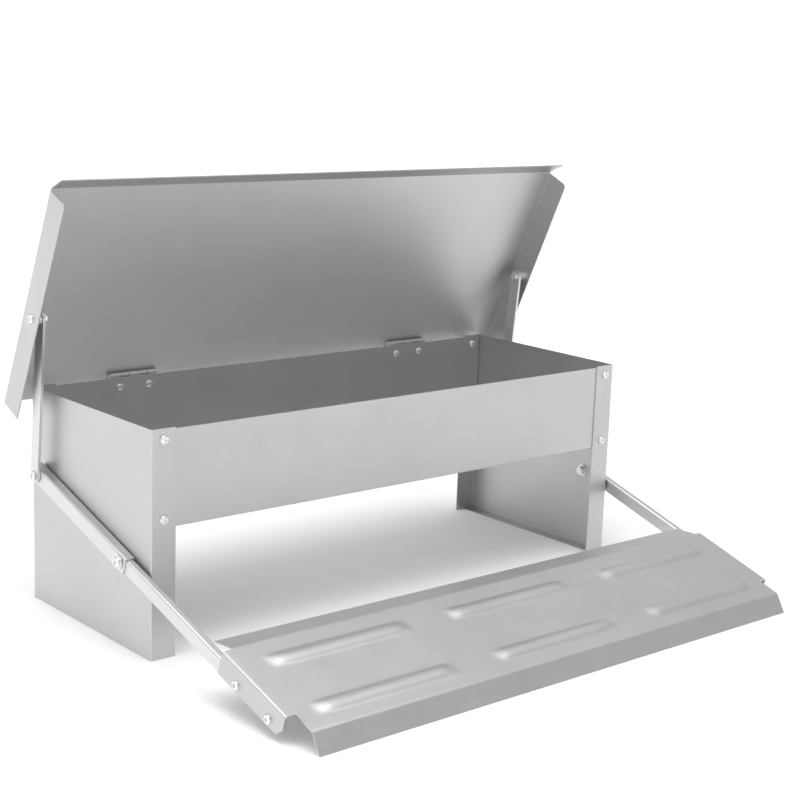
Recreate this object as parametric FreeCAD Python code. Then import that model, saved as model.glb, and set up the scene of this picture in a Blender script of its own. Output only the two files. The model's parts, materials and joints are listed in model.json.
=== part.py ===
"""Treadle feeder for poultry, in millimetres.

A sheet-metal trough hangs between two end panels that stand on the floor. A hinged lid covers it.
Two arms pivot on the end panels and carry a treadle plate in front. Links join the arms' rear ends
to the lid, so that a bird's weight on the treadle lifts the lid. The model is at rest with the
treadle down on the floor and the lid open.

X runs along the feeder, Y from front to back, Z up. Pieces are first made in the body frame, whose
Y is 0 at the front face of the end panels, and are then moved so that the origin is under the
middle of the whole feeder.
"""
import math
import os

import FreeCAD
import Part

V = FreeCAD.Vector
ALONG_X = V(1, 0, 0)
ALONG_Y = V(0, 1, 0)
ALONG_Z = V(0, 0, 1)

# ---- Sheet ----
SHEET = 1.0                 # galvanised sheet of panels, trough, lid and treadle
BEND = 0.6                  # inside radius of its bends
SEAM = 0.25                 # gap between two sheets that lie side by side
HOLE_CLEARANCE = 0.2        # fixed screws in their holes, radial
RUNNING_CLEARANCE = 0.08    # pins that turn, radial
OVERCUT = 0.25              # how far a cutting shape runs past the face it cuts

# ---- Body ----
BODY_LENGTH = 553.0
BODY_DEPTH = 202.0
BODY_HEIGHT = 200.0
FRONT_FLANGE = 24.0
REAR_FLANGE = 24.0
FOOT_FLANGE = 14.0
TROUGH_FLOOR = 114.0        # height of the underside of the trough
TROUGH_TOP_GAP = 1.5        # trough edge below the panels' top edge

# ---- Flange screws ----
FLANGE_SCREW_IN = 12.0      # from the panel's outer face to the screw
FLANGE_SCREW_DOWN = 9.5     # from the panel's top edge to the upper screw
FLANGE_SCREW_UP = 8.0       # from the trough's underside to the lower screw

# ---- Fasteners ----
SCREW_RADIUS = 2.0
SCREW_HEAD_RADIUS = 4.0
SCREW_HEAD_HEIGHT = 2.4
SCREW_TAIL = 1.0            # shank beyond its nut
NUT_FLATS = 7.0
NUT_HEIGHT = 3.2
RECESS_WIDTH = 0.9
RECESS_SPAN = 4.2
RECESS_DEPTH = 1.0
HEAD_ROUNDING = 0.6         # share of a screw head's height that is rounded
RIVET_RADIUS = 1.6
RIVET_HEAD_RADIUS = 3.6
RIVET_HEAD_HEIGHT = 1.5
RIVET_TAIL_RADIUS = 2.6
RIVET_TAIL_HEIGHT = 1.0

# ---- Hinges ----
HINGE_PLACE = 170.0         # hinge centre from the middle of the feeder
HINGE_LENGTH = 50.0
HINGE_KNUCKLES = 5
HINGE_SHEET = 1.2
KNUCKLE_RADIUS = 3.0        # hinge axis to the faces of the lid and the trough
KNUCKLE_RELIEF = 0.3        # knuckles stay this far inside that, clear of the other sheet
KNUCKLE_GAP = 0.3
HINGE_PIN_RADIUS = 1.5
LEAF_WIDTH = 17.0
HINGE_RISE = 0.5            # hinge axis above the panels' top edge
RIVET_SPACING = 32.0
RIVET_FROM_AXIS = 10.5

# ---- Lid ----
LID_OPEN = 66.0             # degrees above closed
LID_SIDE = 21.5             # lid edge beyond the end panel
LID_FLANGE = 27.0
LID_REAR = 18.0             # behind the hinge axis
LID_FRONT_SETBACK = 2.0     # underside of the front bend, behind the body's front face
LID_LIP = 19.0
LID_LIP_ANGLE = 42.0
LID_CORNER_RADIUS = 5.0
CORNER_RELIEF = 2.5         # gap between a flange and a lip at a corner

# ---- Arms ----
PIVOT_BACK = 33.0           # pivot behind the body's front face
PIVOT_HEIGHT = 81.0
PIVOT_RADIUS = 2.5
PIVOT_HEAD_RADIUS = 4.8
PIVOT_HEAD_HEIGHT = 3.0
PIVOT_NUT_FLATS = 8.0
PIVOT_NUT_HEIGHT = 4.0
WASHER_RADIUS = 6.0
WASHER_THICKNESS = 1.0
SLEEVE_WALL = 1.5
SIDE_PLAY = 0.3             # side gap between pieces that move past each other
ARM_GAP = 0.8               # end panel to rear arm
ARM_WALL = 1.2
FRONT_ARM_WIDTH = 7.3
FRONT_ARM_HEIGHT = 12.2
NEST_GAP = 0.1
FRONT_ARM_BEHIND = 42.0     # front arm nested in the rear arm behind the pivot
REAR_ARM_AHEAD = 8.5        # rear arm ahead of the pivot
REAR_ARM = 148.0            # pivot to link pin
ARM_END = 8.0               # arm beyond the link pin
ARM_TIP_SHORT = 6.0         # front arm's end behind the end of the treadle flange

# ---- Treadle ----
TREADLE_NEAR = 154.0        # pivot to the treadle's rear bend, along the arm
TREADLE_DEPTH = 111.0       # rear bend to front bend
TREADLE_ABOVE = 14.5        # treadle surface above the arm's centre line
TREADLE_FLANGE = 20.5
TREADLE_FLANGE_REAR = 2.0   # flange begins ahead of the rear bend
TREADLE_FLANGE_DEPTH = 87.0
TREADLE_FLANGE_CHAMFER = 7.0    # off the flange's lower front corner
TREADLE_INSET = 9.5         # front and rear stretches narrower than the flanged one, each side
TREADLE_FRONT_LIP = 19.0
TREADLE_FRONT_ANGLE = 43.0
TREADLE_REAR_LIP = 22.0
TREADLE_REAR_ANGLE = 20.0
TREADLE_SCREWS = (27.0, 71.5)   # ahead of the rear bend
BEADS_PER_ROW = 3
BEAD_ROWS = (26.0, 88.5)    # ahead of the rear bend
BEAD_LENGTH = 144.0
BEAD_WIDTH = 16.0
BEAD_HEIGHT = 2.4
BEAD_GAP = 44.0

# ---- Links ----
LINK_WIDTH = 13.0
LINK_THICKNESS = 2.5
LINK_HEADROOM = 7.8         # lid underside to the link edge around the upper pin
LINK_PIN_AHEAD = 80.5       # upper link pin ahead of the hinge axis, lid closed
BUSH_RADIUS = 5.0
SPLIT_GAP = 0.3             # upper link pin is open here

# ---- Worked out ----
HALF = BODY_LENGTH / 2
TROUGH_BACK = BODY_DEPTH - SHEET
TROUGH_TOP = BODY_HEIGHT - TROUGH_TOP_GAP
HINGE_Y = TROUGH_BACK + KNUCKLE_RADIUS
HINGE_Z = BODY_HEIGHT + HINGE_RISE
LID_HALF = HALF + LID_SIDE
LID_UNDERSIDE = HINGE_Z + KNUCKLE_RADIUS
LID_TOP = LID_UNDERSIDE + SHEET
REAR_INNER = HALF + ARM_GAP
FRONT_INNER = REAR_INNER + ARM_WALL + NEST_GAP
FRONT_OUTER = FRONT_INNER + FRONT_ARM_WIDTH
REAR_OUTER = FRONT_OUTER + NEST_GAP + ARM_WALL
REAR_ARM_HEIGHT = FRONT_ARM_HEIGHT + 2 * (NEST_GAP + ARM_WALL)
TREADLE_HALF = FRONT_OUTER + NEST_GAP + SHEET
TREADLE_NARROW = TREADLE_HALF - TREADLE_INSET
SLEEVE_RADIUS = PIVOT_RADIUS + SLEEVE_WALL
LINK_INNER = REAR_OUTER + SIDE_PLAY
LINK_OUTER = LINK_INNER + LINK_THICKNESS
LID_FLANGE_INNER = LID_HALF - SHEET
BEAD_RADIUS = (BEAD_WIDTH ** 2 / 4 + BEAD_HEIGHT ** 2) / (2 * BEAD_HEIGHT)
FOOT_RISE = SHEET + 3 * BEND    # where the foot's bend meets the panel's wall


def arm_slope():
    """Slope in degrees at which the treadle's front lip just touches the floor."""
    lip_angle = math.radians(TREADLE_FRONT_ANGLE)
    reach = TREADLE_NEAR + TREADLE_DEPTH
    reach = reach + TREADLE_FRONT_LIP * math.cos(lip_angle) - SHEET * math.sin(lip_angle)
    drop = TREADLE_FRONT_LIP * math.sin(lip_angle) + SHEET * math.cos(lip_angle) - TREADLE_ABOVE
    whole = math.hypot(reach, drop)
    return math.degrees(math.asin(PIVOT_HEIGHT / whole) - math.atan2(drop, reach))


ARM_SLOPE = arm_slope()
PIVOT = V(0, PIVOT_BACK, PIVOT_HEIGHT)
HINGE = V(0, HINGE_Y, HINGE_Z)


def turned(point, centre, degrees):
    """A point turned about an X-wise line through the centre."""
    return centre + FreeCAD.Rotation(ALONG_X, degrees).multVec(point - centre)


LINK_LOW = turned(PIVOT + V(0, REAR_ARM, 0), PIVOT, ARM_SLOPE)
LINK_HIGH_CLOSED = V(0, HINGE_Y - LINK_PIN_AHEAD, LID_UNDERSIDE - LINK_HEADROOM - LINK_WIDTH / 2)
LINK_HIGH = turned(LINK_HIGH_CLOSED, HINGE, -LID_OPEN)


def treadle_front_edge():
    """The foremost edge of the treadle's front lip, at rest."""
    lip_angle = math.radians(TREADLE_FRONT_ANGLE)
    ahead = TREADLE_NEAR + TREADLE_DEPTH + TREADLE_FRONT_LIP * math.cos(lip_angle)
    up = TREADLE_ABOVE - TREADLE_FRONT_LIP * math.sin(lip_angle)
    return turned(PIVOT + V(0, -ahead, up), PIVOT, ARM_SLOPE)


def lid_back_edge():
    """The outer rear edge of the lid, at rest."""
    return turned(V(0, HINGE_Y + LID_REAR, LID_TOP), HINGE, -LID_OPEN)


MIDDLE_Y = (treadle_front_edge().y + lid_back_edge().y) / 2
TO_ORIGIN = V(0, -MIDDLE_Y, 0)


# ---- Shape helpers ----
def side_offset(points, distance):
    """An open polyline of (a, b) points moved to its left."""
    moved = []
    for i, (a, b) in enumerate(points):
        before = points[i - 1] if i else None
        after = points[i + 1] if i + 1 < len(points) else None
        ways = []
        if before:
            ways.append(math.atan2(b - before[1], a - before[0]))
        if after:
            ways.append(math.atan2(after[1] - b, after[0] - a))
        half_turn = (ways[-1] - ways[0]) / 2
        middle = ways[0] + half_turn + math.pi / 2
        reach = distance / math.cos(half_turn)
        moved.append((a + reach * math.cos(middle), b + reach * math.sin(middle)))
    return moved


def rounded_path(points, left_radius, right_radius):
    """Edges along an open polyline, with an arc at each corner, by the way it turns."""
    edges = []
    start = points[0]
    for before, corner, after in zip(points, points[1:], points[2:]):
        way_in = (corner - before).normalize()
        way_out = (after - corner).normalize()
        turn = way_in.getAngle(way_out)
        left = way_in.x * way_out.y - way_in.y * way_out.x > 0
        radius = left_radius if left else right_radius
        reach = radius * math.tan(turn / 2)
        arc_start = corner - way_in * reach
        arc_end = corner + way_out * reach
        bulge = (way_out - way_in).normalize()
        middle = corner + bulge * (radius / math.cos(turn / 2) - radius)
        edges.append(Part.LineSegment(start, arc_start).toShape())
        edges.append(Part.Arc(arc_start, middle, arc_end).toShape())
        start = arc_end
    edges.append(Part.LineSegment(start, points[-1]).toShape())
    return edges


def bent_sheet(points, origin, a_way, b_way, length, thickness=SHEET, bend=BEND):
    """A bent sheet. Its outer side is a polyline in (a, b), the sheet lies to the polyline's left,
    and it runs from the origin along a_way x b_way for the length."""
    outer = [V(a, b, 0) for a, b in points]
    inner = [V(a, b, 0) for a, b in side_offset(points, thickness)]
    edges = rounded_path(outer, bend + thickness, bend)
    far_edges = rounded_path(inner, bend, bend + thickness)
    ends = [
        Part.LineSegment(outer[0], inner[0]).toShape(),
        Part.LineSegment(outer[-1], inner[-1]).toShape(),
    ]
    loop = Part.Wire(Part.__sortEdges__(edges + far_edges + ends))
    solid = Part.Face(loop).extrude(V(0, 0, length))
    c_way = a_way.cross(b_way)
    frame = FreeCAD.Matrix(
        a_way.x, b_way.x, c_way.x, origin.x,
        a_way.y, b_way.y, c_way.y, origin.y,
        a_way.z, b_way.z, c_way.z, origin.z,
        0, 0, 0, 1)
    solid.transformShape(frame)
    return solid


def block(low, high):
    """A box between two corners."""
    size = high - low
    return Part.makeBox(size.x, size.y, size.z, low)


def rod(centre, way, radius, length):
    """A cylinder that starts at the centre."""
    return Part.makeCylinder(radius, length, centre, way)


def tube(centre, way, radius, hole, length):
    """A cylinder with a hole through it."""
    return rod(centre, way, radius, length).cut(rod(centre, way, hole, length))


def drilled(shape, centres, way, radius):
    """A shape with round holes, each cut through one sheet or wall at its centre."""
    reach = 2 * SHEET + ARM_WALL
    holes = [rod(c - way * reach, way, radius, 2 * reach) for c in centres]
    return shape.cut(Part.makeCompound(holes))


def turned_profile(points, centre, way):
    """A solid of revolution about the way, from (radius, height) points."""
    loop = Part.makePolygon([V(r, 0, h) for r, h in points + points[:1]])
    solid = Part.Face(loop).revolve(V(0, 0, 0), ALONG_Z, 360)
    solid.Placement = FreeCAD.Placement(centre, FreeCAD.Rotation(ALONG_Z, way))
    return solid


def pan_screw(seat, way, radius, grip, head_radius, head_height):
    """A pan-head screw with a cross recess. Its head stands on the seat along the way, and its
    shank goes the other way for the grip."""
    head = rod(seat, way, head_radius, head_height)
    top = [e for e in head.Edges if e.Curve.TypeId == "Part::GeomCircle"
           and (e.Curve.Center - seat).dot(way) > head_height / 2]
    head = head.makeFillet(HEAD_ROUNDING * head_height, top)
    across = ALONG_Z
    beside = way.cross(across)
    for long_way, short_way in ((across, beside), (beside, across)):
        corner = seat + way * (head_height - RECESS_DEPTH)
        corner = corner - long_way * (RECESS_SPAN / 2) - short_way * (RECESS_WIDTH / 2)
        slot = Part.Face(Part.makePolygon([
            corner,
            corner + long_way * RECESS_SPAN,
            corner + long_way * RECESS_SPAN + short_way * RECESS_WIDTH,
            corner + short_way * RECESS_WIDTH,
            corner]))
        head = head.cut(slot.extrude(way * (2 * RECESS_DEPTH)))
    return head.fuse(rod(seat, way * -1, radius, grip))


def hex_nut(seat, way, flats, height, hole):
    """A hexagonal nut that stands on the seat."""
    beside = way.cross(ALONG_Z)
    corner = flats / math.sqrt(3)
    points = []
    for i in range(7):
        angle = math.radians(60 * i)
        points.append(seat + ALONG_Z * (corner * math.cos(angle)) + beside * (corner * math.sin(angle)))
    nut = Part.Face(Part.makePolygon(points)).extrude(way * height)
    return nut.cut(rod(seat, way, hole, height))


def rivet(seat, way, grip):
    """A domed rivet: the head stands on the seat, the upset tail closes the far side."""
    dome = [
        (0, 0), (RIVET_HEAD_RADIUS, 0), (0.85 * RIVET_HEAD_RADIUS, 0.55 * RIVET_HEAD_HEIGHT),
        (0.5 * RIVET_HEAD_RADIUS, 0.9 * RIVET_HEAD_HEIGHT), (0, RIVET_HEAD_HEIGHT)]
    head = turned_profile(dome, seat, way)
    shank = rod(seat, way * -1, RIVET_RADIUS, grip + RIVET_TAIL_HEIGHT)
    tail = rod(seat - way * grip, way * -1, RIVET_TAIL_RADIUS, RIVET_TAIL_HEIGHT)
    return head.fuse([shank, tail])


def mirrored(shape):
    """The same piece for the other end of the feeder."""
    return shape.mirror(V(0, 0, 0), ALONG_X)


def both_ends(solids):
    """Pieces of the right-hand end and their mirror images, as one group."""
    return Part.makeCompound(solids + [mirrored(s) for s in solids])


def lid_at_rest(shape):
    """A piece made in the closed lid's place, opened with the lid."""
    opened = shape.copy()
    opened.rotate(HINGE, ALONG_X, -LID_OPEN)
    return opened


def arm_at_rest(shape):
    """A piece made with the arms level, lowered with them."""
    lowered = shape.copy()
    lowered.rotate(PIVOT, ALONG_X, ARM_SLOPE)
    return lowered


# ---- Body ----
def front_screw_places():
    """Where the right-hand front flange's screws sit, on its face."""
    x = HALF - FLANGE_SCREW_IN
    return [V(x, 0, BODY_HEIGHT - FLANGE_SCREW_DOWN), V(x, 0, TROUGH_FLOOR + FLANGE_SCREW_UP)]


def rear_screw_places():
    """Where the right-hand rear flange's screws sit, on the trough's inner face."""
    back = V(0, TROUGH_BACK - SHEET, 0)
    return [place + back for place in front_screw_places()]


def end_panel():
    """The right-hand end panel: a sheet with front, rear and foot flanges turned inwards."""
    walls = bent_sheet(
        [(HALF - FRONT_FLANGE, 0), (HALF, 0), (HALF, BODY_DEPTH), (HALF - REAR_FLANGE, BODY_DEPTH)],
        V(0, 0, 0), ALONG_X, ALONG_Y, BODY_HEIGHT)
    corner = SHEET + BEND + SEAM
    foot = bent_sheet(
        [(HALF - FOOT_FLANGE, 0), (HALF, 0), (HALF, FOOT_RISE)],
        V(0, BODY_DEPTH - corner, 0), ALONG_X, ALONG_Z, BODY_DEPTH - 2 * corner)
    room = block(V(HALF - SHEET - BEND, corner, -OVERCUT), V(HALF + OVERCUT, BODY_DEPTH - corner, FOOT_RISE))
    panel = walls.cut(room).fuse(foot).removeSplitter()
    panel = drilled(panel, front_screw_places(), ALONG_Y, SCREW_RADIUS + HOLE_CLEARANCE)
    rear = [V(place.x, BODY_DEPTH - SHEET, place.z) for place in rear_screw_places()]
    panel = drilled(panel, rear, ALONG_Y, SCREW_RADIUS + HOLE_CLEARANCE)
    return drilled(panel, [V(HALF, PIVOT_BACK, PIVOT_HEIGHT)], ALONG_X, PIVOT_RADIUS + HOLE_CLEARANCE)


def trough():
    """The trough: one sheet bent into a front wall, a level floor and a rear wall."""
    half_length = HALF - SHEET - BEND
    shape = bent_sheet(
        [(SHEET, TROUGH_TOP), (SHEET, TROUGH_FLOOR), (TROUGH_BACK, TROUGH_FLOOR), (TROUGH_BACK, TROUGH_TOP)],
        V(-half_length, 0, 0), ALONG_Y, ALONG_Z, 2 * half_length)
    places = front_screw_places() + rear_screw_places()
    places = places + [V(-p.x, p.y, p.z) for p in places]
    shape = drilled(shape, places, ALONG_Y, SCREW_RADIUS + HOLE_CLEARANCE)
    return drilled(shape, wall_rivet_places(), ALONG_Y, RIVET_RADIUS)


def flange_fasteners():
    """Screws and nuts of the front and rear flanges."""
    grip = 2 * SHEET
    shank = grip + NUT_HEIGHT + SCREW_TAIL
    front = ALONG_Y * -1
    out = {"trough_front_screws": [], "trough_front_nuts": [],
           "trough_rear_screws": [], "trough_rear_nuts": []}
    for seat in front_screw_places():
        out["trough_front_screws"].append(pan_screw(
            seat, front, SCREW_RADIUS, shank, SCREW_HEAD_RADIUS, SCREW_HEAD_HEIGHT))
        out["trough_front_nuts"].append(hex_nut(
            seat + ALONG_Y * grip, ALONG_Y, NUT_FLATS, NUT_HEIGHT, SCREW_RADIUS))
    for seat in rear_screw_places():
        out["trough_rear_screws"].append(pan_screw(
            seat, front, SCREW_RADIUS, shank, SCREW_HEAD_RADIUS, SCREW_HEAD_HEIGHT))
        out["trough_rear_nuts"].append(hex_nut(
            seat + ALONG_Y * grip, ALONG_Y, NUT_FLATS, NUT_HEIGHT, SCREW_RADIUS))
    return {name: both_ends(solids) for name, solids in out.items()}


# ---- Hinges ----
def rivet_xs():
    """X of every hinge rivet."""
    places = []
    for side in (-1, 1):
        for step in (-0.5, 0.5):
            places.append(side * HINGE_PLACE + step * RIVET_SPACING)
    return places


def wall_rivet_places():
    """Hinge rivets on the inner face of the trough's rear wall."""
    return [V(x, TROUGH_BACK - SHEET, HINGE_Z - RIVET_FROM_AXIS) for x in rivet_xs()]


def lid_rivet_places():
    """Hinge rivets on top of the closed lid."""
    return [V(x, HINGE_Y + RIVET_FROM_AXIS, LID_TOP) for x in rivet_xs()]


def hinge_leaf(plate, keeps_odd):
    """One leaf: its plate, with its share of the knuckles, for the right-hand hinge."""
    start = HINGE_PLACE - HINGE_LENGTH / 2
    step = HINGE_LENGTH / HINGE_KNUCKLES
    leaf = plate
    for i in range(HINGE_KNUCKLES):
        low = V(start + i * step, HINGE_Y, HINGE_Z)
        if (i % 2 == 1) == keeps_odd:
            inset = KNUCKLE_GAP / 2
            leaf = leaf.fuse(rod(low + ALONG_X * inset, ALONG_X,
                                 KNUCKLE_RADIUS - KNUCKLE_RELIEF, step - KNUCKLE_GAP))
        else:
            leaf = leaf.cut(rod(low - ALONG_X * (KNUCKLE_GAP / 2), ALONG_X,
                                KNUCKLE_RADIUS + KNUCKLE_GAP, step + KNUCKLE_GAP))
    bore = rod(V(start, HINGE_Y, HINGE_Z), ALONG_X, HINGE_PIN_RADIUS + RUNNING_CLEARANCE, HINGE_LENGTH)
    return leaf.cut(bore).removeSplitter()


def wall_leaf():
    """The leaf on the outside of the trough's rear wall, right-hand hinge."""
    start = HINGE_PLACE - HINGE_LENGTH / 2
    plate = block(V(start, TROUGH_BACK, HINGE_Z - LEAF_WIDTH),
                  V(start + HINGE_LENGTH, TROUGH_BACK + HINGE_SHEET, HINGE_Z))
    leaf = hinge_leaf(plate, keeps_odd=False)
    places = [p + ALONG_Y * SHEET for p in wall_rivet_places() if p.x > 0]
    return drilled(leaf, places, ALONG_Y, RIVET_RADIUS)


def lid_leaf():
    """The leaf under the lid's rear overhang, right-hand hinge, lid closed."""
    start = HINGE_PLACE - HINGE_LENGTH / 2
    plate = block(V(start, HINGE_Y, LID_UNDERSIDE - HINGE_SHEET),
                  V(start + HINGE_LENGTH, HINGE_Y + LEAF_WIDTH, LID_UNDERSIDE))
    leaf = hinge_leaf(plate, keeps_odd=True)
    places = [p - ALONG_Z * SHEET for p in lid_rivet_places() if p.x > 0]
    return drilled(leaf, places, ALONG_Z, RIVET_RADIUS)


def hinge_pin():
    """The right-hand hinge pin, with its headed end."""
    start = V(HINGE_PLACE - HINGE_LENGTH / 2, HINGE_Y, HINGE_Z)
    shank = rod(start, ALONG_X, HINGE_PIN_RADIUS, HINGE_LENGTH + KNUCKLE_GAP)
    head = rod(start - ALONG_X * HINGE_SHEET, ALONG_X, KNUCKLE_RADIUS - KNUCKLE_GAP, HINGE_SHEET)
    return shank.fuse(head)


# ---- Lid ----
def lid_sheet():
    """The lid, closed: a plate with side flanges and a drip lip along its front."""
    front = LID_FRONT_SETBACK
    lip_angle = math.radians(LID_LIP_ANGLE)
    flange_front = front + CORNER_RELIEF
    flanged = bent_sheet(
        [(LID_HALF, LID_TOP - LID_FLANGE), (LID_HALF, LID_TOP), (-LID_HALF, LID_TOP),
         (-LID_HALF, LID_TOP - LID_FLANGE)],
        V(0, HINGE_Y + LID_REAR, 0), ALONG_X, ALONG_Z, HINGE_Y + LID_REAR - flange_front)
    low_corner = LID_TOP - LID_FLANGE
    for side in (-1, 1):
        flanged = flanged.cut(corner_rounding(side, flange_front, low_corner))
    lip_free = (front - LID_LIP * math.cos(lip_angle), LID_TOP - LID_LIP * math.sin(lip_angle))
    lip_half = LID_HALF - SHEET
    lip = bent_sheet(
        [(flange_front + LID_CORNER_RADIUS, LID_TOP), (front, LID_TOP), lip_free],
        V(-lip_half, 0, 0), ALONG_Y, ALONG_Z, 2 * lip_half)
    sheet = flanged.fuse(lip).removeSplitter()
    sheet = drilled(sheet, lid_rivet_places(), ALONG_Z, RIVET_RADIUS)
    pins = [V(side * LID_HALF, LINK_HIGH_CLOSED.y, LINK_HIGH_CLOSED.z) for side in (-1, 1)]
    return drilled(sheet, pins, ALONG_X, SCREW_RADIUS + HOLE_CLEARANCE)


def corner_rounding(side, edge_y, edge_z):
    """What is cut from a lid flange to round its lower front corner."""
    radius = LID_CORNER_RADIUS
    low_x = LID_HALF - 2 * SHEET if side > 0 else -LID_HALF - SHEET
    square = block(V(low_x, edge_y - OVERCUT, edge_z - OVERCUT),
                   V(low_x + 3 * SHEET, edge_y + radius, edge_z + radius))
    return square.cut(rod(V(low_x, edge_y + radius, edge_z + radius), ALONG_X, radius, 3 * SHEET))


def lid_link_bolt():
    """The lid's part of the upper link pin, right-hand end, lid closed."""
    seat = V(LID_HALF, LINK_HIGH_CLOSED.y, LINK_HIGH_CLOSED.z)
    grip = LID_HALF - LINK_OUTER - SPLIT_GAP
    return pan_screw(seat, ALONG_X, SCREW_RADIUS, grip, SCREW_HEAD_RADIUS, SCREW_HEAD_HEIGHT)


def lid_link_bush():
    """The spacer between the lid's flange and the link, right-hand end, lid closed."""
    start = V(LINK_OUTER + SPLIT_GAP, LINK_HIGH_CLOSED.y, LINK_HIGH_CLOSED.z)
    return tube(start, ALONG_X, BUSH_RADIUS, SCREW_RADIUS, LID_FLANGE_INNER - start.x)


# ---- Arms ----
def channel(inner, outer, height, rear_y, front_y):
    """The right-hand arm's channel between two faces, level, with its mouth downwards. Its inner
    wall runs on the pivot's sleeve and its outer wall on the pivot bolt."""
    low = PIVOT_HEIGHT - height / 2
    high = PIVOT_HEIGHT + height / 2
    arm = bent_sheet(
        [(outer, low), (outer, high), (inner, high), (inner, low)],
        V(0, rear_y, 0), ALONG_X, ALONG_Z, rear_y - front_y, thickness=ARM_WALL, bend=ARM_WALL / 2)
    arm = drilled(arm, [V(outer, PIVOT_BACK, PIVOT_HEIGHT)], ALONG_X, PIVOT_RADIUS + RUNNING_CLEARANCE)
    return drilled(arm, [V(inner, PIVOT_BACK, PIVOT_HEIGHT)], ALONG_X, SLEEVE_RADIUS + RUNNING_CLEARANCE)


def treadle_screw_places():
    """The right-hand treadle screws on the outside of its flange, arms level."""
    places = []
    for ahead in TREADLE_SCREWS:
        places.append(V(TREADLE_HALF, PIVOT_BACK - TREADLE_NEAR - ahead, PIVOT_HEIGHT))
    return places


def front_arm():
    """The right-hand front arm, level."""
    front_y = PIVOT_BACK - TREADLE_NEAR - TREADLE_FLANGE_REAR - TREADLE_FLANGE_DEPTH + ARM_TIP_SHORT
    arm = channel(FRONT_INNER, FRONT_OUTER, FRONT_ARM_HEIGHT, PIVOT_BACK + FRONT_ARM_BEHIND, front_y)
    return drilled(arm, treadle_screw_places(), ALONG_X, SCREW_RADIUS + HOLE_CLEARANCE)


def rear_arm():
    """The right-hand rear arm, level, nested over the front arm at the pivot."""
    rear_y = PIVOT_BACK + REAR_ARM + ARM_END
    arm = channel(REAR_INNER, REAR_OUTER, REAR_ARM_HEIGHT, rear_y, PIVOT_BACK - REAR_ARM_AHEAD)
    pin = V(REAR_OUTER, PIVOT_BACK + REAR_ARM, PIVOT_HEIGHT)
    return drilled(arm, [pin], ALONG_X, SCREW_RADIUS + HOLE_CLEARANCE)


def pivot_fasteners():
    """Bolt, washers, sleeve and nut of the right-hand pivot, all fixed to the end panel."""
    centre = V(0, PIVOT_BACK, PIVOT_HEIGHT)
    sleeve_end = FRONT_OUTER - ARM_WALL - SIDE_PLAY
    washer_face = REAR_OUTER + SIDE_PLAY
    seat = washer_face + WASHER_THICKNESS
    inside = HALF - SHEET
    shank = seat - inside + WASHER_THICKNESS + PIVOT_NUT_HEIGHT + SCREW_TAIL
    return {
        "pivot_bolts": [pan_screw(
            centre + ALONG_X * seat, ALONG_X, PIVOT_RADIUS, shank, PIVOT_HEAD_RADIUS, PIVOT_HEAD_HEIGHT)],
        "pivot_washers": [
            tube(centre + ALONG_X * washer_face, ALONG_X, WASHER_RADIUS, PIVOT_RADIUS, WASHER_THICKNESS),
            tube(centre + ALONG_X * (inside - WASHER_THICKNESS), ALONG_X,
                 WASHER_RADIUS, PIVOT_RADIUS, WASHER_THICKNESS)],
        "pivot_sleeves": [tube(
            centre + ALONG_X * HALF, ALONG_X, SLEEVE_RADIUS, PIVOT_RADIUS, sleeve_end - HALF)],
        "pivot_nuts": [hex_nut(
            centre + ALONG_X * (inside - WASHER_THICKNESS), ALONG_X * -1,
            PIVOT_NUT_FLATS, PIVOT_NUT_HEIGHT, PIVOT_RADIUS)],
    }


# ---- Treadle ----
def bead(x, y, z, radius):
    """A long bar with round ends, most of which lies below the treadle's surface."""
    half_run = BEAD_LENGTH / 2 - BEAD_WIDTH / 2
    depth = BEAD_RADIUS - BEAD_HEIGHT
    left = V(x - half_run, y, z - depth)
    shape = rod(left, ALONG_X, radius, 2 * half_run)
    shape = shape.fuse(Part.makeSphere(radius, left))
    return shape.fuse(Part.makeSphere(radius, left + ALONG_X * (2 * half_run)))


def bead_places():
    """Centres of the beads, as (x, distance ahead of the rear bend)."""
    pitch = BEAD_LENGTH + BEAD_GAP
    places = []
    for ahead in BEAD_ROWS:
        for i in range(BEADS_PER_ROW):
            places.append(((i - (BEADS_PER_ROW - 1) / 2) * pitch, ahead))
    return places


def flange_chamfer(side, front_y, low_z):
    """What is cut from a treadle flange to slope its lower front corner."""
    reach = TREADLE_FLANGE_CHAMFER
    low_x = TREADLE_HALF - 2 * SHEET if side > 0 else -TREADLE_HALF - SHEET
    corner = V(low_x, front_y - OVERCUT, low_z - OVERCUT)
    wedge = Part.Face(Part.makePolygon([
        corner, corner + V(0, reach + 2 * OVERCUT, 0), corner + V(0, 0, reach + 2 * OVERCUT), corner]))
    return wedge.extrude(ALONG_X * (3 * SHEET))


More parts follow.
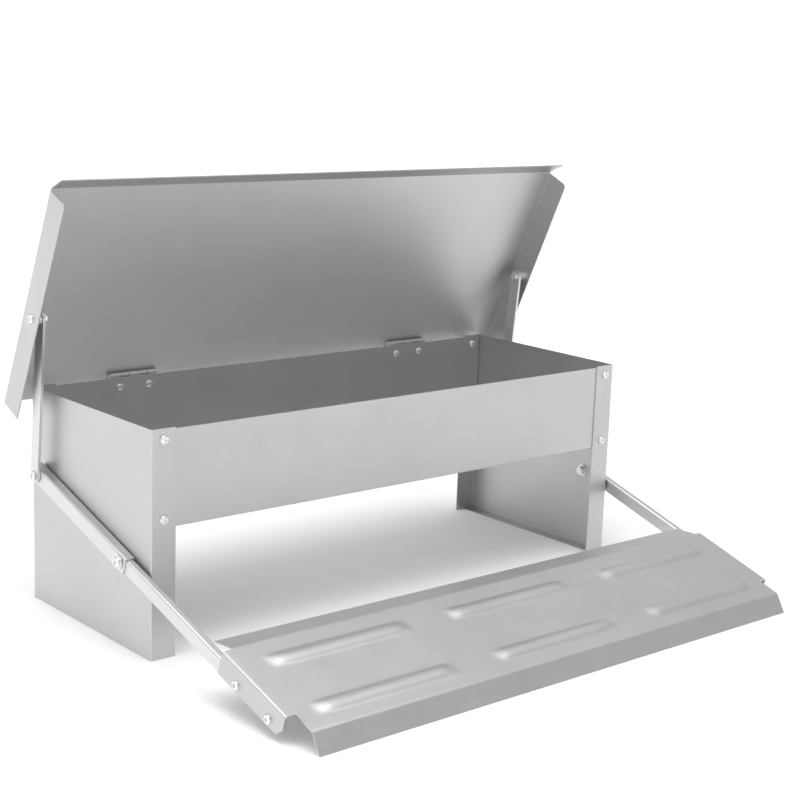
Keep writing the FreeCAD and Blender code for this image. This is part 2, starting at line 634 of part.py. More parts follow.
def treadle_plate():
    """The treadle, level: a plate with pressed beads, side flanges and two lips."""
    rear_y = PIVOT_BACK - TREADLE_NEAR
    front_y = rear_y - TREADLE_DEPTH
    top = PIVOT_HEIGHT + TREADLE_ABOVE
    rear_angle = math.radians(TREADLE_REAR_ANGLE)
    front_angle = math.radians(TREADLE_FRONT_ANGLE)
    rear_free = (rear_y + TREADLE_REAR_LIP * math.cos(rear_angle),
                 top - TREADLE_REAR_LIP * math.sin(rear_angle))
    front_free = (front_y - TREADLE_FRONT_LIP * math.cos(front_angle),
                  top - TREADLE_FRONT_LIP * math.sin(front_angle))
    plate = bent_sheet(
        [rear_free, (rear_y, top), (front_y, top), front_free],
        V(-TREADLE_NARROW, 0, 0), ALONG_Y, ALONG_Z, 2 * TREADLE_NARROW)
    flange_start = rear_y - TREADLE_FLANGE_REAR
    flanged = bent_sheet(
        [(TREADLE_HALF, top - TREADLE_FLANGE), (TREADLE_HALF, top), (-TREADLE_HALF, top),
         (-TREADLE_HALF, top - TREADLE_FLANGE)],
        V(0, flange_start, 0), ALONG_X, ALONG_Z, TREADLE_FLANGE_DEPTH)
    for side in (-1, 1):
        flanged = flanged.cut(flange_chamfer(side, flange_start - TREADLE_FLANGE_DEPTH, top - TREADLE_FLANGE))
    plate = plate.fuse(flanged).removeSplitter()
    above = block(V(-TREADLE_NARROW, front_y, top - SHEET / 2),
                  V(TREADLE_NARROW, rear_y, top + 2 * BEAD_HEIGHT))
    for x, ahead in bead_places():
        y = rear_y - ahead
        plate = plate.fuse(bead(x, y, top, BEAD_RADIUS).common(above))
    for x, ahead in bead_places():
        y = rear_y - ahead
        below = bead(x, y, top, BEAD_RADIUS - SHEET)
        plate = plate.cut(below)
    places = treadle_screw_places()
    places = places + [V(-p.x, p.y, p.z) for p in places]
    return drilled(plate, places, ALONG_X, SCREW_RADIUS + HOLE_CLEARANCE)


def treadle_fasteners():
    """Screws and nuts that hold the treadle's flanges to the front arms, arms level."""
    grip = TREADLE_HALF - (FRONT_OUTER - ARM_WALL)
    screws = []
    nuts = []
    for seat in treadle_screw_places():
        screws.append(arm_at_rest(pan_screw(
            seat, ALONG_X, SCREW_RADIUS, grip + NUT_HEIGHT + SCREW_TAIL,
            SCREW_HEAD_RADIUS, SCREW_HEAD_HEIGHT)))
        nuts.append(arm_at_rest(hex_nut(
            seat - ALONG_X * grip, ALONG_X * -1, NUT_FLATS, NUT_HEIGHT, SCREW_RADIUS)))
    return {"treadle_screws": both_ends(screws), "treadle_nuts": both_ends(nuts)}


# ---- Links ----
def link():
    """The right-hand link: a flat bar with round ends and a hole at each."""
    radius = LINK_WIDTH / 2
    low = LINK_LOW + ALONG_X * LINK_INNER
    high = LINK_HIGH + ALONG_X * LINK_INNER
    way = (high - low).normalize()
    beside = ALONG_X.cross(way) * radius
    bar = Part.Face(Part.Wire([
        Part.LineSegment(low - beside, high - beside).toShape(),
        Part.Arc(high - beside, high + way * radius, high + beside).toShape(),
        Part.LineSegment(high + beside, low + beside).toShape(),
        Part.Arc(low + beside, low - way * radius, low - beside).toShape(),
    ])).extrude(ALONG_X * LINK_THICKNESS)
    bar = drilled(bar, [low], ALONG_X, SCREW_RADIUS + RUNNING_CLEARANCE)
    return drilled(bar, [high], ALONG_X, SCREW_RADIUS)


def link_top_nut():
    """The link's part of the upper link pin: a nut on its inner face, closed by a stub."""
    face = LINK_HIGH + ALONG_X * LINK_INNER
    nut = hex_nut(face, ALONG_X * -1, NUT_FLATS, NUT_HEIGHT, SCREW_RADIUS)
    stub = rod(face - ALONG_X * NUT_HEIGHT, ALONG_X, SCREW_RADIUS, NUT_HEIGHT + LINK_THICKNESS)
    return nut.fuse(stub)


def link_low_fasteners():
    """Bolts and nuts of the lower link pins, fixed to the rear arms."""
    seat = LINK_LOW + ALONG_X * (LINK_OUTER + SIDE_PLAY)
    grip = seat.x - (REAR_OUTER - ARM_WALL)
    bolt = pan_screw(
        seat, ALONG_X, SCREW_RADIUS, grip + NUT_HEIGHT + SCREW_TAIL, SCREW_HEAD_RADIUS, SCREW_HEAD_HEIGHT)
    nut = hex_nut(seat - ALONG_X * grip, ALONG_X * -1, NUT_FLATS, NUT_HEIGHT, SCREW_RADIUS)
    return {"link_low_bolts": both_ends([bolt]), "link_low_nuts": both_ends([nut])}


# ---- Assembly ----
def pairs(name, shape):
    """A right-hand piece and its left-hand twin, as two nodes."""
    return {"right_" + name: shape, "left_" + name: mirrored(shape)}


def all_nodes():
    """Every node of the feeder in the body frame, at rest."""
    nodes = {"trough": trough()}
    nodes.update(pairs("end_panel", end_panel()))
    nodes.update(flange_fasteners())
    nodes.update(pairs("hinge_wall_leaf", wall_leaf()))
    nodes.update(pairs("hinge_lid_leaf", lid_at_rest(lid_leaf())))
    nodes.update(pairs("hinge_pin", hinge_pin()))
    wall_grip = SHEET + HINGE_SHEET
    nodes["hinge_wall_rivets"] = Part.makeCompound(
        [rivet(p, ALONG_Y * -1, wall_grip) for p in wall_rivet_places()])
    nodes["hinge_lid_rivets"] = Part.makeCompound(
        [lid_at_rest(rivet(p, ALONG_Z, wall_grip)) for p in lid_rivet_places()])
    nodes["lid_sheet"] = lid_at_rest(lid_sheet())
    nodes["lid_link_bolts"] = both_ends([lid_at_rest(lid_link_bolt())])
    nodes["lid_link_bushes"] = both_ends([lid_at_rest(lid_link_bush())])
    for name, solids in pivot_fasteners().items():
        nodes[name] = both_ends(solids)
    nodes.update(pairs("front_arm", arm_at_rest(front_arm())))
    nodes.update(pairs("rear_arm", arm_at_rest(rear_arm())))
    nodes["treadle_plate"] = arm_at_rest(treadle_plate())
    nodes.update(treadle_fasteners())
    nodes.update(pairs("link", link()))
    nodes.update(pairs("link_top_nut", link_top_nut()))
    nodes.update(link_low_fasteners())
    return nodes


def main():
    """Write one STEP file per node."""
    os.makedirs("parts", exist_ok=True)
    for name, shape in all_nodes().items():
        placed = shape.copy()
        placed.translate(TO_ORIGIN)
        placed.exportStep("parts/" + name + ".step")


main()
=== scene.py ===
"""Looks of the treadle feeder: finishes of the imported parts, the pressed treadle, studio and camera."""
import json
import math

import bpy
from mathutils import Matrix, Vector


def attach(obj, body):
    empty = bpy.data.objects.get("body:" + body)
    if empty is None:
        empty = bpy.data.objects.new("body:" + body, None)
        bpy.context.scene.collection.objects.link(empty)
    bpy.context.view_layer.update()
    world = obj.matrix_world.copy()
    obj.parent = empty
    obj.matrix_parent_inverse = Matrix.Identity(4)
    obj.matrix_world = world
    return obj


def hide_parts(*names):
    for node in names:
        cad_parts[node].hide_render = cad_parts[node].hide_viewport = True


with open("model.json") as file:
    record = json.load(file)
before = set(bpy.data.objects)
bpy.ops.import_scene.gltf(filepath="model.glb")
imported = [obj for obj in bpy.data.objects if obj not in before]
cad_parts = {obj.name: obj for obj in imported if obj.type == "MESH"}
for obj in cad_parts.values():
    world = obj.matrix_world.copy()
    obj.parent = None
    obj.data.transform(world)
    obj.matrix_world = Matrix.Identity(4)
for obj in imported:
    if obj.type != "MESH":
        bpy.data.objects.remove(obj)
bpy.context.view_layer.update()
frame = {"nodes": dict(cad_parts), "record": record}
NODES = frame["nodes"]
MM = 0.001


# ---- Shader groups ----
def add_node(tree, kind, values=None, settings=None):
    """A shader node with its socket values and its own settings filled in."""
    node = tree.nodes.new(kind)
    for name, value in (settings or {}).items():
        setattr(node, name, value)
    for name, value in (values or {}).items():
        node.inputs[name].default_value = value
    return node


def new_group(name, inputs, outputs):
    """An empty shader group with named sockets. Inputs are (name, kind, value)."""
    tree = bpy.data.node_groups.new(name, "ShaderNodeTree")
    for label, kind, value in inputs:
        tree.interface.new_socket(name=label, in_out="INPUT", socket_type=kind).default_value = value
    for label, kind in outputs:
        tree.interface.new_socket(name=label, in_out="OUTPUT", socket_type=kind)
    return tree, tree.nodes.new("NodeGroupInput"), tree.nodes.new("NodeGroupOutput")


def math_node(tree, operation, first, second):
    """A Math node. Each side is a socket or a number."""
    node = tree.nodes.new("ShaderNodeMath")
    node.operation = operation
    for slot, value in zip(node.inputs, (first, second)):
        if isinstance(value, (int, float)):
            slot.default_value = value
        else:
            tree.links.new(value, slot)
    return node.outputs[0]


def centred_noise(tree, place, scale, detail, roughness=0.5):
    """Noise about zero, from about -0.5 to 0.5. The scale is a socket or a number, in features per metre."""
    noise = add_node(tree, "ShaderNodeTexNoise", {"Detail": detail, "Roughness": roughness})
    tree.links.new(place, noise.inputs["Vector"])
    if isinstance(scale, (int, float)):
        noise.inputs["Scale"].default_value = scale
    else:
        tree.links.new(scale, noise.inputs["Scale"])
    return math_node(tree, "SUBTRACT", noise.outputs["Fac"], 0.5)


def zinc_bloom_group():
    """Cloudy zinc with small crystals and a fine tooth, as a tone, a roughness change and a height."""
    tree, given, result = new_group("zinc bloom", [
        ("Cloud Size", "NodeSocketFloat", 9.0),
        ("Crystal Size", "NodeSocketFloat", 160.0),
        ("Crystal Share", "NodeSocketFloat", 0.4),
    ], [("Tone", "NodeSocketFloat"), ("Roughness Change", "NodeSocketFloat"), ("Height", "NodeSocketFloat")])
    place = tree.nodes.new("ShaderNodeTexCoord").outputs["Object"]
    clouds = centred_noise(tree, place, given.outputs["Cloud Size"], 3.0)
    crystals = add_node(tree, "ShaderNodeTexVoronoi", {"Randomness": 1.0}, {"feature": "SMOOTH_F1"})
    tree.links.new(place, crystals.inputs["Vector"])
    tree.links.new(given.outputs["Crystal Size"], crystals.inputs["Scale"])
    grain = math_node(tree, "SUBTRACT", crystals.outputs["Distance"], 0.4)
    grain = math_node(tree, "MULTIPLY", grain, given.outputs["Crystal Share"])
    tooth = centred_noise(tree, place, 1400.0, 2.0)
    tree.links.new(math_node(tree, "ADD", clouds, grain), result.inputs["Tone"])
    patches = centred_noise(tree, place, 26.0, 4.0)
    tree.links.new(math_node(tree, "ADD", patches, grain), result.inputs["Roughness Change"])
    soft_tooth = math_node(tree, "MULTIPLY", tooth, 0.5)
    tree.links.new(math_node(tree, "ADD", soft_tooth, grain), result.inputs["Height"])
    return tree


def rolling_marks_group():
    """Long fine streaks that rolling or drawing leaves, along one way."""
    tree, given, result = new_group("rolling marks", [
        ("Stretch", "NodeSocketVector", (1.0, 60.0, 60.0)),
        ("Fineness", "NodeSocketFloat", 12.0),
    ], [("Streak", "NodeSocketFloat")])
    place = tree.nodes.new("ShaderNodeTexCoord").outputs["Object"]
    stretched = add_node(tree, "ShaderNodeVectorMath", settings={"operation": "MULTIPLY"})
    tree.links.new(place, stretched.inputs[0])
    tree.links.new(given.outputs["Stretch"], stretched.inputs[1])
    streak = centred_noise(tree, stretched.outputs[0], given.outputs["Fineness"], 4.0, 0.6)
    tree.links.new(streak, result.inputs["Streak"])
    return tree


def scuffs_group():
    """A few short hairline scuffs from handling, as a mask from 0 to 1."""
    tree, given, result = new_group("handling scuffs", [
        ("Amount", "NodeSocketFloat", 0.3),
    ], [("Mask", "NodeSocketFloat")])
    place = tree.nodes.new("ShaderNodeTexCoord").outputs["Object"]
    masks = []
    for turn, scale in ((0.5, 7.0), (2.0, 9.0)):
        way = add_node(tree, "ShaderNodeMapping", {
            "Rotation": (turn, 0.4 * turn, turn), "Scale": (scale, 40 * scale, 40 * scale)})
        tree.links.new(place, way.inputs["Vector"])
        lines = add_node(tree, "ShaderNodeTexNoise", {"Scale": 1.0, "Detail": 2.0})
        tree.links.new(way.outputs["Vector"], lines.inputs["Vector"])
        thin = add_node(tree, "ShaderNodeMapRange", {"From Min": 0.70, "From Max": 0.74})
        tree.links.new(lines.outputs["Fac"], thin.inputs["Value"])
        masks.append(thin.outputs["Result"])
    both = math_node(tree, "MAXIMUM", masks[0], masks[1])
    tree.links.new(math_node(tree, "MULTIPLY", both, given.outputs["Amount"]), result.inputs["Mask"])
    return tree


BLOOM = zinc_bloom_group()
ROLLING = rolling_marks_group()
SCUFFS = scuffs_group()


def use_group(tree, group, values=None):
    """One use of a shader group, with its own values."""
    node = tree.nodes.new("ShaderNodeGroup")
    node.node_tree = group
    for name, value in (values or {}).items():
        node.inputs[name].default_value = value
    return node


# ---- Materials ----
def metal(name, dark, light, roughness, bloom, streaks, scuffs, tooth):
    """A bare metal finish. bloom and streaks are (group values, tone share, roughness share)."""
    material = bpy.data.materials.new(name)
    material.use_nodes = True
    tree = material.node_tree
    shader = tree.nodes["Principled BSDF"]
    shader.inputs["Metallic"].default_value = 1.0
    cloudy = use_group(tree, BLOOM, bloom[0])
    rolled = use_group(tree, ROLLING, streaks[0])
    scuffed = use_group(tree, SCUFFS, {"Amount": scuffs})
    tone = math_node(tree, "MULTIPLY", cloudy.outputs["Tone"], bloom[1])
    tone = math_node(tree, "ADD", tone, math_node(tree, "MULTIPLY", rolled.outputs["Streak"], streaks[1]))
    tone = math_node(tree, "ADD", tone, 0.5)
    tone = math_node(tree, "ADD", tone, scuffed.outputs["Mask"])
    ramp = tree.nodes.new("ShaderNodeValToRGB")
    ramp.color_ramp.elements[0].color = (*dark, 1)
    ramp.color_ramp.elements[1].color = (*light, 1)
    tree.links.new(tone, ramp.inputs["Fac"])
    tree.links.new(ramp.outputs["Color"], shader.inputs["Base Color"])
    rough = math_node(tree, "MULTIPLY", cloudy.outputs["Roughness Change"], bloom[2])
    rough = math_node(tree, "ADD", rough, math_node(tree, "MULTIPLY", rolled.outputs["Streak"], streaks[2]))
    rough = math_node(tree, "ADD", rough, roughness)
    tree.links.new(rough, shader.inputs["Roughness"])
    bump = add_node(tree, "ShaderNodeBump", {"Strength": tooth, "Distance": 0.0002})
    height = math_node(tree, "ADD", cloudy.outputs["Height"], rolled.outputs["Streak"])
    tree.links.new(height, bump.inputs["Height"])
    tree.links.new(bump.outputs["Normal"], shader.inputs["Normal"])
    return material


GALVANISED = metal(
    "galvanised sheet", dark=(0.47, 0.472, 0.482), light=(0.71, 0.713, 0.722), roughness=0.46,
    bloom=({"Cloud Size": 9.0, "Crystal Size": 170.0, "Crystal Share": 0.25}, 0.25, 0.12),
    streaks=({"Stretch": (1.0, 45.0, 45.0), "Fineness": 10.0}, 0.10, 0.05), scuffs=0.06, tooth=0.12)
BRIGHT_BAR = metal(
    "bright bar", dark=(0.60, 0.605, 0.61), light=(0.80, 0.805, 0.81), roughness=0.40,
    bloom=({"Cloud Size": 14.0, "Crystal Size": 600.0, "Crystal Share": 0.1}, 0.2, 0.08),
    streaks=({"Stretch": (60.0, 1.5, 4.0), "Fineness": 14.0}, 0.25, 0.08), scuffs=0.08, tooth=0.1)
ZINC = metal(
    "bright zinc", dark=(0.74, 0.74, 0.72), light=(0.95, 0.95, 0.92), roughness=0.32,
    bloom=({"Cloud Size": 90.0, "Crystal Size": 900.0, "Crystal Share": 0.1}, 0.3, 0.1),
    streaks=({"Stretch": (20.0, 20.0, 20.0), "Fineness": 30.0}, 0.1, 0.05), scuffs=0.0, tooth=0.1)
FINISHES = {"galvanised_sheet": GALVANISED, "bright_bar": BRIGHT_BAR, "zinc_fasteners": ZINC}


def finish_cad_nodes():
    """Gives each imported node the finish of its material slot."""
    slots = {part["node"]: part["material_slot"] for part in frame["record"]["subparts"]}
    for name, node in NODES.items():
        node.data.materials.clear()
        node.data.materials.append(FINISHES[slots[name]])


# ---- Pressed treadle ----
PIVOT_Y = 42.527 * MM
PIVOT_Z = 81.0 * MM
ARM_SLOPE = 17.093          # degrees, treadle end down
TREADLE_REAR = PIVOT_Y - 154.0 * MM     # rear bend, arms level
TREADLE_FRONT = TREADLE_REAR - 111.0 * MM
TREADLE_TOP = PIVOT_Z + 14.5 * MM
NARROW_HALF = 277.5 * MM
WIDE_HALF = 287.0 * MM
WING_AHEAD = (2.0 * MM, 89.0 * MM)      # wings' ends, ahead of the rear bend
FLANGE_DROP = 20.5 * MM
FLANGE_CHAMFER = 7.0 * MM
FLANGE_FRONT = TREADLE_REAR - WING_AHEAD[1]
FLANGE_LOW = TREADLE_TOP - FLANGE_DROP
REAR_LIP = (22.0 * MM, math.radians(20.0))
FRONT_LIP = (19.0 * MM, math.radians(43.0))
BEAD_MIDDLES_X = (-188.0 * MM, 0.0, 188.0 * MM)
BEAD_ROWS = (26.0 * MM, 88.5 * MM)
BEAD_HALF_LENGTH = 72.0 * MM
BEAD_HALF_WIDTH = 8.0 * MM
BEAD_RIDGE = 2.6 * MM       # of the cage; the smooth bead is a little lower
BEAD_SLOPE = 4.5 * MM
BEAD_GUARD = 2.5 * MM       # flat sheet starts this far outside a bead
BEAD_TAPER = 22.0 * MM      # where a bead's rounded end begins
BEAD_END_SLOPE = 8.0 * MM   # longer slope at the ends
BEND_OFFSET = 1.6 * MM
SMOOTH_LEVELS = 3
SHEET = 1.0 * MM
SHEET_EDGE = 0.2 * MM
CLOSE = 0.05 * MM


def clear_selection():
    """Nothing selected, in object mode."""
    if bpy.context.object and bpy.context.object.mode != "OBJECT":
        bpy.ops.object.mode_set(mode="OBJECT")
    bpy.ops.object.select_all(action="DESELECT")


def pick(piece, kind, wanted):
    """Selects just the faces, edges or vertices whose middle passes the test, in edit mode."""
    bpy.ops.object.mode_set(mode="EDIT")
    bpy.ops.mesh.select_all(action="DESELECT")
    bpy.ops.mesh.select_mode(type=kind)
    bpy.ops.object.mode_set(mode="OBJECT")
    mesh = piece.data
    items = {"FACE": mesh.polygons, "EDGE": mesh.edges, "VERT": mesh.vertices}[kind]
    found = 0
    for item in items:
        corners = [item.index] if kind == "VERT" else item.vertices
        middle = sum((mesh.vertices[i].co for i in corners), Vector()) / len(corners)
        item.select = bool(wanted(middle, [mesh.vertices[i].co for i in corners]))
        found += item.select
    bpy.ops.object.mode_set(mode="EDIT")
    assert found, "nothing to select on " + piece.name


def cut_across(piece, wanted, place, way):
    """Cuts the picked faces along a plane."""
    pick(piece, "FACE", wanted)
    bpy.ops.mesh.bisect(plane_co=place, plane_no=way)


def bend_down(piece, y, length, angle, forwards):
    """Extrudes the sheet's front or rear edge into a lip that slopes down."""
    pick(piece, "EDGE", lambda m, c: all(abs(v.y - y) < CLOSE for v in c))
    run = length * math.cos(angle) * (-1 if forwards else 1)
    bpy.ops.mesh.extrude_region_move(
        TRANSFORM_OT_translate={"value": (0, run, -length * math.sin(angle))})


def level_grid():
    """The treadle's flat sheet, arms level, cut along the borders of its beads and wings."""
    clear_selection()
    bpy.ops.mesh.primitive_plane_add(size=1.0, location=(0, (TREADLE_REAR + TREADLE_FRONT) / 2, TREADLE_TOP))
    piece = bpy.context.object
    piece.name = "pressed_treadle"
    piece.scale = (2 * NARROW_HALF, TREADLE_REAR - TREADLE_FRONT, 1)
    bpy.ops.object.transform_apply(location=True, rotation=True, scale=True)
    for middle in BEAD_MIDDLES_X:
        for side in (-1, 1):
            for reach in (BEAD_HALF_LENGTH - BEAD_TAPER, BEAD_HALF_LENGTH, BEAD_HALF_LENGTH + BEAD_GUARD):
                cut_across(piece, lambda m, c: True, (middle + side * reach, 0, 0), (1, 0, 0))
    for row in BEAD_ROWS:
        for side in (-1, 1):
            for reach in (BEAD_HALF_WIDTH, BEAD_HALF_WIDTH + BEAD_GUARD):
                place = (0, TREADLE_REAR - row + side * reach, 0)
                cut_across(piece, lambda m, c: True, place, (0, 1, 0))
    outermost = BEAD_MIDDLES_X[-1] + BEAD_HALF_LENGTH + BEAD_GUARD
    for ahead in WING_AHEAD:
        cut_across(piece, lambda m, c: abs(m.x) > outermost, (0, TREADLE_REAR - ahead, 0), (0, 1, 0))
    return piece


def on_bead(middle, corners):
    """A face inside one of the six beads."""
    return any(abs(middle.x - x) < BEAD_HALF_LENGTH - CLOSE for x in BEAD_MIDDLES_X) and any(
        abs(middle.y - (TREADLE_REAR - row)) < CLOSE for row in BEAD_ROWS)


def raise_beads(piece):
    """Six ridges with sloping sides and longer sloping ends."""
    pick(piece, "FACE", on_bead)
    bpy.ops.mesh.inset(thickness=BEAD_SLOPE, depth=0, use_individual=False)
    bpy.ops.transform.translate(value=(0, 0, BEAD_RIDGE))
    for side in (-1, 1):
        pick(piece, "VERT", lambda m, c: m.z > TREADLE_TOP + CLOSE and any(
            side * (m.x - x) > BEAD_HALF_LENGTH - BEAD_TAPER + CLOSE
            and abs(m.x - x) < BEAD_HALF_LENGTH for x in BEAD_MIDDLES_X))
        bpy.ops.transform.translate(value=(-side * BEAD_END_SLOPE, 0, 0))


def wing_edge(middle, corners):
    """An edge of the narrow sheet that a wing grows from."""
    inside = TREADLE_REAR - WING_AHEAD[1] - CLOSE < middle.y < TREADLE_REAR - WING_AHEAD[0] + CLOSE
    return inside and all(abs(abs(v.x) - NARROW_HALF) < CLOSE for v in corners)


def add_wings(piece):
    """A wider stretch and a flange at each end, with the flange's lower front corner cut off."""
    for side in (-1, 1):
        pick(piece, "EDGE", lambda m, c: wing_edge(m, c) and m.x * side > 0)
        bpy.ops.mesh.extrude_region_move(
            TRANSFORM_OT_translate={"value": (side * (WIDE_HALF - NARROW_HALF), 0, 0)})
        bpy.ops.mesh.extrude_region_move(TRANSFORM_OT_translate={"value": (0, 0, -FLANGE_DROP)})
    pick(piece, "VERT", lambda m, c: abs(abs(m.x) - WIDE_HALF) < CLOSE
         and abs(m.y - FLANGE_FRONT) < CLOSE and abs(m.z - FLANGE_LOW) < CLOSE)
    bpy.ops.mesh.bevel(offset=FLANGE_CHAMFER, affect="VERTICES", segments=1)


def on_a_bend(middle, corners):
    """An edge along the front, rear or end bend."""
    level = all(abs(v.z - TREADLE_TOP) < CLOSE for v in corners)
    across = any(all(abs(v.y - y) < CLOSE for v in corners) for y in (TREADLE_REAR, TREADLE_FRONT))
    return level and (across or all(abs(abs(v.x) - WIDE_HALF) < CLOSE for v in corners))


def sharp_corner(middle, corners):
    """A corner of the outline that stays sharp: the wings' roots and the flange's low front."""
    at_wing_end = any(abs(middle.y - (TREADLE_REAR - ahead)) < CLOSE for ahead in WING_AHEAD)
    root = abs(abs(middle.x) - NARROW_HALF) < CLOSE
    low = abs(middle.z - FLANGE_LOW) < FLANGE_CHAMFER + CLOSE
    front = abs(middle.y - FLANGE_FRONT) < FLANGE_CHAMFER + CLOSE
    return abs(middle.x) > NARROW_HALF - CLOSE and ((at_wing_end and root) or (low and front))


def face_upwards(piece):
    """Makes the sheet's faces agree, with the top of the treadle outwards."""
    bpy.ops.mesh.select_all(action="SELECT")
    bpy.ops.mesh.normals_make_consistent(inside=False)
    bpy.ops.object.mode_set(mode="OBJECT")
    if sum(face.normal.z for face in piece.data.polygons if face.center.z > TREADLE_TOP - CLOSE) < 0:
        bpy.ops.object.mode_set(mode="EDIT")
        bpy.ops.mesh.flip_normals()
        bpy.ops.object.mode_set(mode="OBJECT")


def thicken(piece):
    """Smooths the sheet, gives it its wall and takes the sharpness off its edges."""
    smooth = piece.modifiers.new("smooth", "SUBSURF")
    smooth.levels = smooth.render_levels = SMOOTH_LEVELS
    smooth.boundary_smooth = "PRESERVE_CORNERS"
    wall = piece.modifiers.new("wall", "SOLIDIFY")
    wall.thickness = SHEET
    wall.offset = -1.0
    edge = piece.modifiers.new("edge", "BEVEL")
    edge.width = SHEET_EDGE
    edge.segments = 1
    edge.limit_method = "ANGLE"
    edge.angle_limit = math.radians(60)
    for name in ("smooth", "wall", "edge"):
        bpy.ops.object.modifier_apply(modifier=name)
    bpy.ops.object.shade_smooth_by_angle(angle=math.radians(35))


def pressed_treadle():
    """The treadle as one smooth pressing: six shallow beads, two lips and a flange at each end."""
    piece = level_grid()
    raise_beads(piece)
    bend_down(piece, TREADLE_REAR, *REAR_LIP, forwards=False)
    bend_down(piece, TREADLE_FRONT, *FRONT_LIP, forwards=True)
    add_wings(piece)
    pick(piece, "EDGE", on_a_bend)
    bpy.ops.mesh.bevel(offset=BEND_OFFSET, affect="EDGES", segments=2)
    pick(piece, "VERT", sharp_corner)
    bpy.ops.transform.vert_crease(value=1.0)
    face_upwards(piece)
    thicken(piece)
    piece.data.transform(
        Matrix.Translation((0, PIVOT_Y, PIVOT_Z)) @ Matrix.Rotation(math.radians(ARM_SLOPE), 4, "X")
        @ Matrix.Translation((0, -PIVOT_Y, -PIVOT_Z)))
    piece.data.materials.append(GALVANISED)
    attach(piece, "treadle")
    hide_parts("treadle_plate")


# ---- Studio ----
GLOW_FROM = 0.7             # from the middle of the feeder
GLOW_TO = 1.7
# painted light: the floor's own glow, near the feeder and further out
NEAR_GLOW = 0.12
FAR_GLOW = 0.55
FLOOR_SIZE = 40.0
SURROUND_LEVEL = 0.68       # light of the white surroundings, level and its change each way
SURROUND_TO_RIGHT = -0.10
SURROUND_TO_BACK = 0.12
BACKDROP_LEVEL = 1.2


def floor():
    """A wide pale floor with painted light: a glow that is faint around the feeder, where the lights do most
    of the lighting, and strong further out, where it glows white.
    """
    bpy.ops.mesh.primitive_plane_add(size=FLOOR_SIZE, location=(0, 0, 0))
    ground = bpy.context.object
    ground.name = "floor"
    material = bpy.data.materials.new("pale floor")
    material.use_nodes = True
    tree = material.node_tree
    shader = tree.nodes["Principled BSDF"]
    shader.inputs["Base Color"].default_value = (0.86, 0.86, 0.86, 1)
    shader.inputs["Roughness"].default_value = 0.7
    shader.inputs["Specular IOR Level"].default_value = 0.1
    shader.inputs["Emission Strength"].default_value = 1.0
    from_middle = add_node(tree, "ShaderNodeVectorMath", settings={"operation": "LENGTH"})
    tree.links.new(tree.nodes.new("ShaderNodeTexCoord").outputs["Object"], from_middle.inputs[0])
    outwards = add_node(tree, "ShaderNodeMapRange", {"From Min": GLOW_FROM, "From Max": GLOW_TO})
    tree.links.new(from_middle.outputs["Value"], outwards.inputs["Value"])
    glow = tree.nodes.new("ShaderNodeValToRGB")
    glow.color_ramp.interpolation = "EASE"
    glow.color_ramp.elements[0].color = (NEAR_GLOW, NEAR_GLOW, NEAR_GLOW, 1)
    glow.color_ramp.elements[1].color = (FAR_GLOW, FAR_GLOW, FAR_GLOW, 1)
    tree.links.new(outwards.outputs["Result"], glow.inputs["Fac"])
    tree.links.new(glow.outputs["Color"], shader.inputs["Emission Color"])
    ground.data.materials.append(material)


def softbox(name, place, aim, width, height, power):
    """A rectangular light that looks at a point."""
    light = bpy.data.lights.new(name, "AREA")
    light.shape = "RECTANGLE"
    light.size = width
    light.size_y = height
    light.energy = power
    lamp = bpy.data.objects.new(name, light)
    bpy.context.scene.collection.objects.link(lamp)
    way = (Vector(aim) - Vector(place)).to_track_quat("-Z", "Y")
    lamp.matrix_world = Matrix.Translation(place) @ way.to_matrix().to_4x4()
    lamp.visible_camera = False


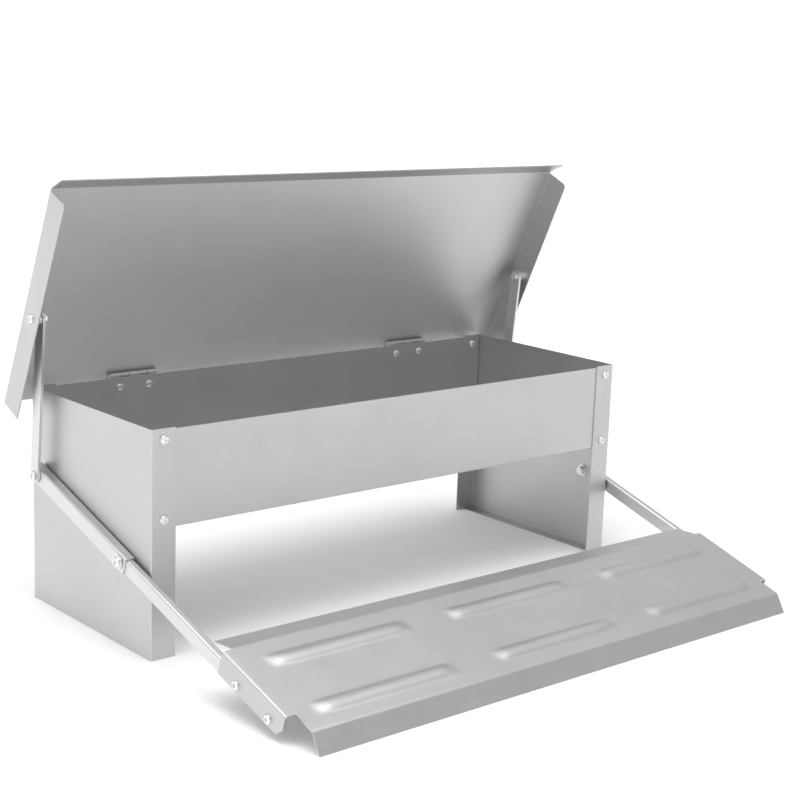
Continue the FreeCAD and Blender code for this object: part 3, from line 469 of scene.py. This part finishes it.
def studio():
    """White surroundings, brighter to the back and left, with an overhead and a left softbox."""
    world = bpy.data.worlds.new("white studio")
    world.use_nodes = True
    tree = world.node_tree
    background = tree.nodes["Background"]
    background.inputs["Color"].default_value = (1, 1, 1, 1)
    way = tree.nodes.new("ShaderNodeSeparateXYZ")
    tree.links.new(tree.nodes.new("ShaderNodeTexCoord").outputs["Generated"], way.inputs["Vector"])
    sideways = math_node(tree, "MULTIPLY", way.outputs["X"], SURROUND_TO_RIGHT)
    backwards = math_node(tree, "MULTIPLY", way.outputs["Y"], SURROUND_TO_BACK)
    surround = math_node(tree, "ADD", math_node(tree, "ADD", sideways, backwards), SURROUND_LEVEL)
    path = tree.nodes.new("ShaderNodeLightPath")
    backdrop = math_node(tree, "MULTIPLY", path.outputs["Is Camera Ray"], BACKDROP_LEVEL)
    tree.links.new(math_node(tree, "MAXIMUM", surround, backdrop), background.inputs["Strength"])
    bpy.context.scene.world = world
    softbox("overhead softbox", (-0.3, -0.2, 2.4), (0, 0, 0.1), 2.2, 1.8, 44)
    softbox("left softbox", (-2.0, -0.6, 1.0), (0, 0, 0.15), 1.6, 1.2, 4)
    view = bpy.context.scene.view_settings
    view.view_transform = "Standard"
    view.look = "None"


# ---- Camera ----
CAMERA_YAW = math.radians(-40.718)
CAMERA_PITCH = math.radians(12.222)
CAMERA_ROLL = math.radians(2.074)
CAMERA_LENS = 75.04
CAMERA_DISTANCE = 1.5563
CAMERA_ASIDE = -0.0081
CAMERA_RAISED = 0.0916
CAMERA_AIM = Vector((0, 0.0095, 0.1))


def camera():
    """The view from the front left, a little above the trough."""
    data = bpy.data.cameras.new("camera")
    data.sensor_width = 36.0
    data.lens = CAMERA_LENS
    data.clip_end = 100.0
    seat = bpy.data.objects.new("camera", data)
    bpy.context.scene.collection.objects.link(seat)
    level = math.cos(CAMERA_PITCH)
    back = Vector((math.sin(CAMERA_YAW) * level, -math.cos(CAMERA_YAW) * level, math.sin(CAMERA_PITCH)))
    right = Vector((math.cos(CAMERA_YAW), math.sin(CAMERA_YAW), 0))
    up = back.cross(right)
    place = CAMERA_AIM + back * CAMERA_DISTANCE + right * CAMERA_ASIDE + up * CAMERA_RAISED
    leaned_right = right * math.cos(CAMERA_ROLL) + up * math.sin(CAMERA_ROLL)
    leaned_up = up * math.cos(CAMERA_ROLL) - right * math.sin(CAMERA_ROLL)
    turn = Matrix((leaned_right, leaned_up, back)).transposed()
    seat.matrix_world = Matrix.Translation(place) @ turn.to_4x4()
    bpy.context.scene.camera = seat


finish_cad_nodes()
pressed_treadle()
floor()
studio()
camera()
